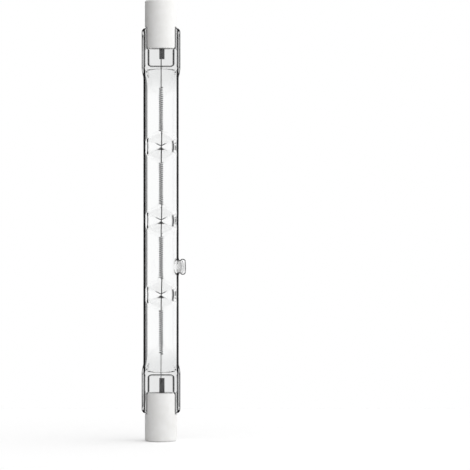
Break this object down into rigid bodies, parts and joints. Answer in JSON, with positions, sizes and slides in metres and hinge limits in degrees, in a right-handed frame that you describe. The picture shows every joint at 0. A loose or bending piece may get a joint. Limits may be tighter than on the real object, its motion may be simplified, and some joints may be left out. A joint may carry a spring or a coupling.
{
  "type": "linear halogen bulb",
  "caption": "Double-ended linear halogen bulb: a clear quartz tube with a coiled filament along its axis, pressed flat at both ends into forked white ceramic caps with recessed contacts.",
  "frame": {"origin": "on the lamp axis, at the centre of the lower cap's end, where its contact recess opens", "axes": "+Z along the lamp axis from the lower cap to the upper cap, +X towards the exhaust tip, -Y towards the front of the flat press seals"},
  "size_m": [0.012, 0.0094, 0.1176],
  "materials": {
    "quartz": "clear fused quartz",
    "tungsten": "drawn tungsten wire, dull grey",
    "molybdenum_foil": "thin etched foil, dark grey",
    "molybdenum_wire": "drawn wire, grey",
    "ceramic": "unglazed white steatite, matt",
    "contact_metal": "turned nickel-plated button",
    "cement": "matt refractory cement"
  },
  "bodies": {
    "root": {"quartz_envelope": "quartz", "filament": "tungsten", "lower_foil": "molybdenum_foil", "upper_foil": "molybdenum_foil", "lower_outer_lead": "molybdenum_wire", "upper_outer_lead": "molybdenum_wire", "lower_cap": "ceramic", "upper_cap": "ceramic", "lower_contact": "contact_metal", "upper_contact": "contact_metal", "lower_cement": "cement", "upper_cement": "cement"}
  },
  "joints": []
}
